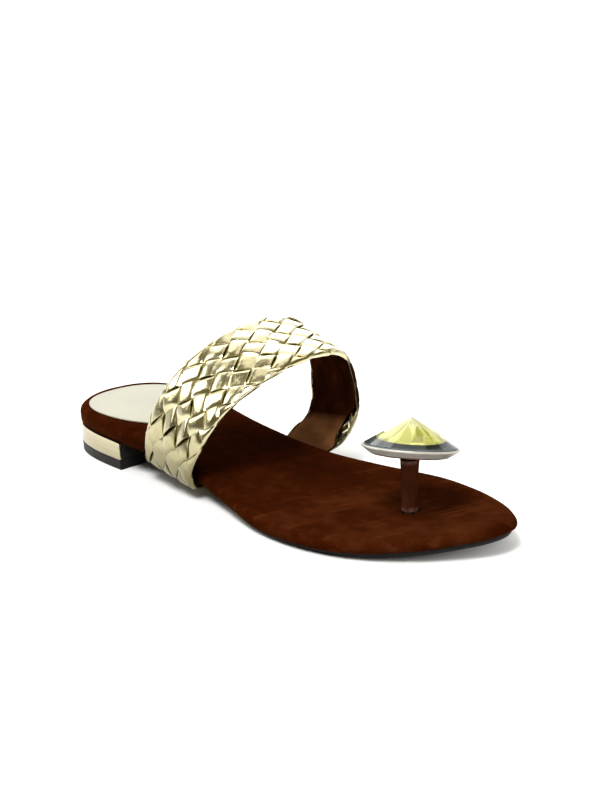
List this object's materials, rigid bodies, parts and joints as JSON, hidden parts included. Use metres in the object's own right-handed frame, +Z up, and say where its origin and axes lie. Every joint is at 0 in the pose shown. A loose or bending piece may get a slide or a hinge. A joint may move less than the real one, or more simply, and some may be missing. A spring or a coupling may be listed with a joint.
{
  "type": "flat sandal",
  "caption": "Flat toe-post sandal for the right foot: suede footbed, thin outsole, low gold heel, one braided instep strap and a post topped by a faceted stone.",
  "frame": {"origin": "on the floor, under the middle of the sandal's bounding box", "axes": "+X towards the toe, +Y towards the inner side of the right foot, +Z up from the floor"},
  "size_m": [0.25, 0.0964, 0.0681],
  "materials": {
    "brown_suede": "dark chestnut suede with a short nap",
    "outsole_black": "matt",
    "heel_black": "matt",
    "heel_gold": "pale gold, mirror bright",
    "lift_black": "matt",
    "sock_cream": "smooth pale gold cream",
    "gold_leather": "pale gold foil on braided strips, dark brown lining",
    "post_leather": "dark brown, wrapped",
    "setting_metal": "pale champagne metal",
    "stone": "faceted, yellow at its heart and clear grey at its rim"
  },
  "bodies": {
    "root": {"footbed": "brown_suede", "outsole": "outsole_black", "heel_block": "heel_black", "heel_band": "heel_gold", "top_lift": "lift_black", "heel_sock": "sock_cream", "strap": "gold_leather", "toe_post": "post_leather", "gem_setting": "setting_metal", "gem": "stone"}
  },
  "joints": []
}
